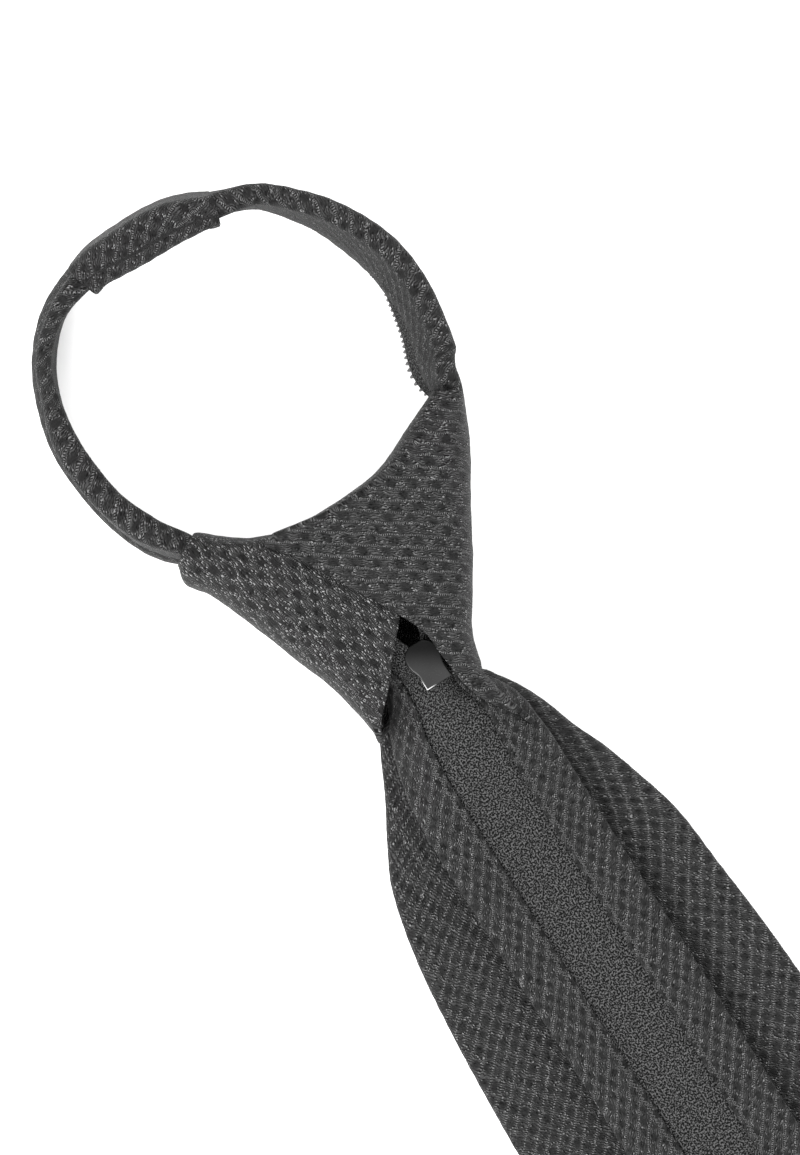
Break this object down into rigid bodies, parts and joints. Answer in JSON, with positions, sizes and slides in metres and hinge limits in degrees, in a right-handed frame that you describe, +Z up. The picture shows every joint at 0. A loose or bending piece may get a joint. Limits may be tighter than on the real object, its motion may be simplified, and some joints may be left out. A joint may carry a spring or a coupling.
{
  "type": "zipper necktie",
  "caption": "Ready-knotted woven necktie lying face down, with a zip-adjusted neck loop, a pointed blade and a zipped tail.",
  "frame": {"origin": "middle of the tie's outline seen from above, on the surface that the tie lies on", "axes": "+Z up, away from that surface, through the back of the tie; +Y from the blade's tip to the neck loop; +X to the right as the back is seen"},
  "size_m": [0.0878, 0.5542, 0.0236],
  "materials": {
    "tie_cloth": "two-tone charcoal weave with a soft sheen",
    "zip_tape": "fine plain woven tape, matt",
    "zip_coil": "dark nylon monofilament, slightly satin",
    "slider_enamel": "glossy black enamel"
  },
  "bodies": {
    "root": {"blade": "tie_cloth", "knot_front": "tie_cloth", "knot_wing_right": "tie_cloth", "knot_wing_left": "tie_cloth", "band_right": "tie_cloth", "band_left": "tie_cloth", "zip_tape_right": "zip_tape", "zip_tape_left": "zip_tape", "zip_coil_right": "zip_coil", "zip_coil_left": "zip_coil", "zip_slider": "slider_enamel", "nape_panel": "tie_cloth", "tail_end": "tie_cloth"}
  },
  "joints": []
}
